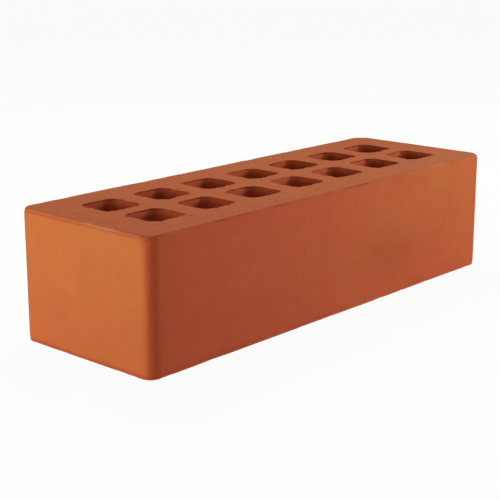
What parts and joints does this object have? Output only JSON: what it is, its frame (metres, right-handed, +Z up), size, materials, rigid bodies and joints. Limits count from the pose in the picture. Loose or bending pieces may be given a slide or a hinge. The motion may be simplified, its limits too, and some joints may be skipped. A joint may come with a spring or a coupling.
{
  "type": "clay facing brick",
  "caption": "Slim terracotta facing brick of fired clay, extruded and wire-cut, with rounded upright corners and rows of square through cores, for brick walls and cladding.",
  "frame": {"origin": "middle of the lower bed face", "axes": "+X along the stretcher faces, +Y from the front stretcher face to the back one, +Z up through the cores"},
  "size_m": [0.253, 0.084, 0.063],
  "materials": {
    "fired_clay": "matt, unglazed, fine sandy grain"
  },
  "bodies": {
    "root": {"brick": "fired_clay"}
  },
  "joints": []
}
